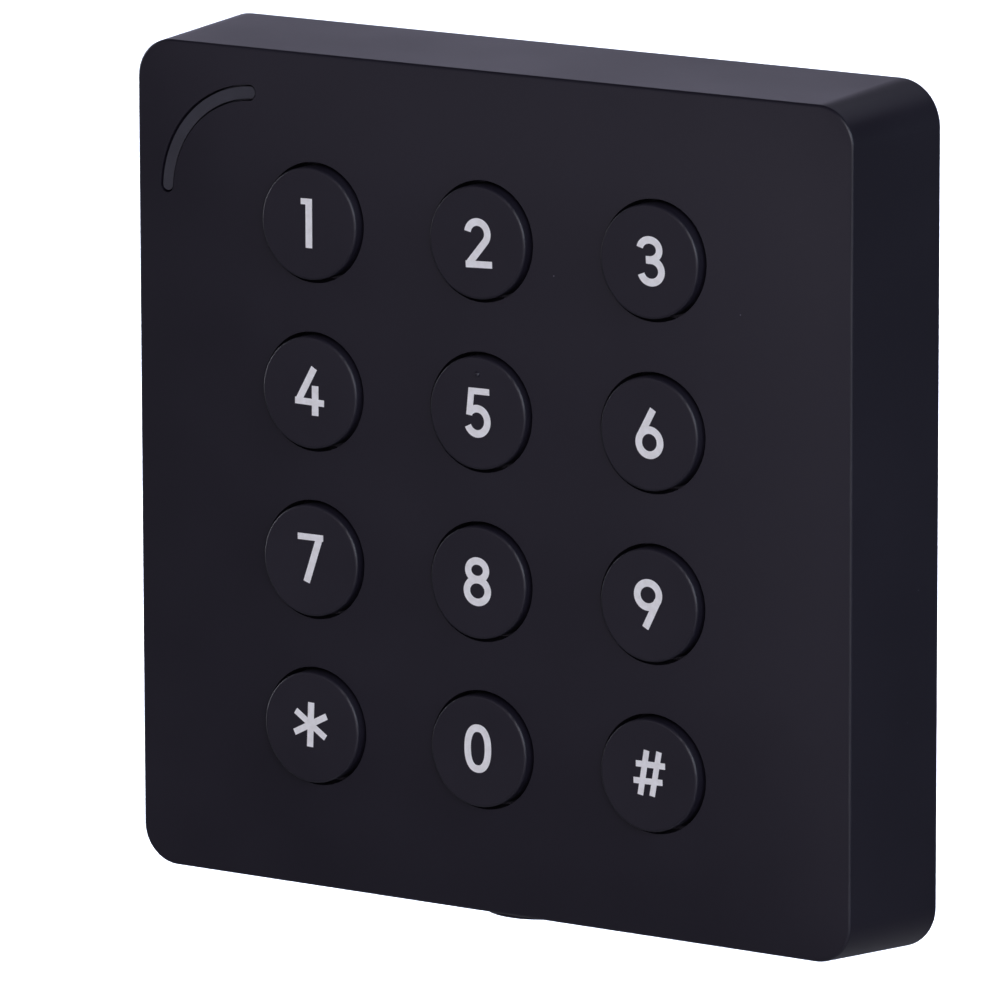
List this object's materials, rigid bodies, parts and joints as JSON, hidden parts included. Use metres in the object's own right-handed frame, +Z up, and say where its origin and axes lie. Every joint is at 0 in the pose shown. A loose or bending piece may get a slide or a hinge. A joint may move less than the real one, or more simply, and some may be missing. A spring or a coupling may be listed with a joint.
{
  "type": "keypad access reader",
  "caption": "Square black wall-mounted access reader with round telephone-style keys in a crowned face, a light arc and a rear wall bracket.",
  "frame": {"origin": "middle of the bracket's wall face, halfway between the two wall-box screws", "axes": "+X to the right seen from the front, -Y out of the wall towards the viewer, +Z up"},
  "size_m": [0.086, 0.0169, 0.0865],
  "materials": {
    "housing_plastic": "fine texture",
    "rear_plastic": "satin",
    "key_plastic": "fine texture",
    "legend_ink": "printed",
    "gasket_silicone": "matte",
    "zinc_steel": "zinc plated",
    "mat_silicone": "matte",
    "circuit_board": "solder mask",
    "gold_plate": "plated",
    "ceramic": "matte",
    "copper_wire": "enamelled",
    "buzzer_plastic": "satin",
    "guide_acrylic": "smoked, polished",
    "led_resin": "clear",
    "screw_steel": "zinc plated",
    "lock_steel": "stainless",
    "chip_epoxy": "matte",
    "can_metal": "satin",
    "header_nylon": "satin",
    "switch_plastic": "satin",
    "plunger_plastic": "satin",
    "contact_carbon": "matte"
  },
  "bodies": {
    "reader": {"front_cover": "housing_plastic", "rear_cover": "rear_plastic", "cover_gasket": "gasket_silicone", "wall_bracket": "zinc_steel", "keypad_mat": "mat_silicone", "main_board": "circuit_board", "contact_pads": "gold_plate", "board_passives": "ceramic", "antenna_coil": "copper_wire", "buzzer": "buzzer_plastic", "light_guide": "guide_acrylic", "status_leds": "led_resin", "cover_screws": "screw_steel", "board_screws": "screw_steel", "lock_screw": "lock_steel", "microcontroller": "chip_epoxy", "reader_chip": "chip_epoxy", "crystal": "can_metal", "wiring_header": "header_nylon", "header_pins": "gold_plate", "tamper_switch": "switch_plastic"},
    "key_1_button": {"key_1": "key_plastic", "key_1_contact": "contact_carbon"},
    "key_2_button": {"key_2": "key_plastic", "key_2_contact": "contact_carbon"},
    "key_3_button": {"key_3": "key_plastic", "key_3_contact": "contact_carbon"},
    "key_4_button": {"key_4": "key_plastic", "key_4_contact": "contact_carbon"},
    "key_5_button": {"key_5": "key_plastic", "key_5_contact": "contact_carbon"},
    "key_6_button": {"key_6": "key_plastic", "key_6_contact": "contact_carbon"},
    "key_7_button": {"key_7": "key_plastic", "key_7_contact": "contact_carbon"},
    "key_8_button": {"key_8": "key_plastic", "key_8_contact": "contact_carbon"},
    "key_9_button": {"key_9": "key_plastic", "key_9_contact": "contact_carbon"},
    "key_star_button": {"key_star": "key_plastic", "key_star_contact": "contact_carbon"},
    "key_0_button": {"key_0": "key_plastic", "key_0_contact": "contact_carbon"},
    "key_hash_button": {"key_hash": "key_plastic", "key_hash_contact": "contact_carbon"},
    "tamper_button": {"tamper_plunger": "plunger_plastic"}
  },
  "joints": [
    {"name": "key_1_press", "type": "slide", "parent": "reader", "child": "key_1_button", "axis": [0, 1, 0], "range_m": [0, 0.00075], "stiffness_N_per_m": 500, "springref_m": -0.0012, "deforming": ["keypad_mat"]},
    {"name": "key_2_press", "type": "slide", "parent": "reader", "child": "key_2_button", "axis": [0, 1, 0], "range_m": [0, 0.00075], "stiffness_N_per_m": 500, "springref_m": -0.0012, "deforming": ["keypad_mat"]},
    {"name": "key_3_press", "type": "slide", "parent": "reader", "child": "key_3_button", "axis": [0, 1, 0], "range_m": [0, 0.00075], "stiffness_N_per_m": 500, "springref_m": -0.0012, "deforming": ["keypad_mat"]},
    {"name": "key_4_press", "type": "slide", "parent": "reader", "child": "key_4_button", "axis": [0, 1, 0], "range_m": [0, 0.00075], "stiffness_N_per_m": 500, "springref_m": -0.0012, "deforming": ["keypad_mat"]},
    {"name": "key_5_press", "type": "slide", "parent": "reader", "child": "key_5_button", "axis": [0, 1, 0], "range_m": [0, 0.00075], "stiffness_N_per_m": 500, "springref_m": -0.0012, "deforming": ["keypad_mat"]},
    {"name": "key_6_press", "type": "slide", "parent": "reader", "child": "key_6_button", "axis": [0, 1, 0], "range_m": [0, 0.00075], "stiffness_N_per_m": 500, "springref_m": -0.0012, "deforming": ["keypad_mat"]},
    {"name": "key_7_press", "type": "slide", "parent": "reader", "child": "key_7_button", "axis": [0, 1, 0], "range_m": [0, 0.00075], "stiffness_N_per_m": 500, "springref_m": -0.0012, "deforming": ["keypad_mat"]},
    {"name": "key_8_press", "type": "slide", "parent": "reader", "child": "key_8_button", "axis": [0, 1, 0], "range_m": [0, 0.00075], "stiffness_N_per_m": 500, "springref_m": -0.0012, "deforming": ["keypad_mat"]},
    {"name": "key_9_press", "type": "slide", "parent": "reader", "child": "key_9_button", "axis": [0, 1, 0], "range_m": [0, 0.00075], "stiffness_N_per_m": 500, "springref_m": -0.0012, "deforming": ["keypad_mat"]},
    {"name": "key_star_press", "type": "slide", "parent": "reader", "child": "key_star_button", "axis": [0, 1, 0], "range_m": [0, 0.00075], "stiffness_N_per_m": 500, "springref_m": -0.0012, "deforming": ["keypad_mat"]},
    {"name": "key_0_press", "type": "slide", "parent": "reader", "child": "key_0_button", "axis": [0, 1, 0], "range_m": [0, 0.00075], "stiffness_N_per_m": 500, "springref_m": -0.0012, "deforming": ["keypad_mat"]},
    {"name": "key_hash_press", "type": "slide", "parent": "reader", "child": "key_hash_button", "axis": [0, 1, 0], "range_m": [0, 0.00075], "stiffness_N_per_m": 500, "springref_m": -0.0012, "deforming": ["keypad_mat"]},
    {"name": "tamper_press", "type": "slide", "parent": "reader", "child": "tamper_button", "axis": [0, -1, 0], "range_m": [0, 0.0006], "stiffness_N_per_m": 250, "springref_m": -0.0012}
  ]
}
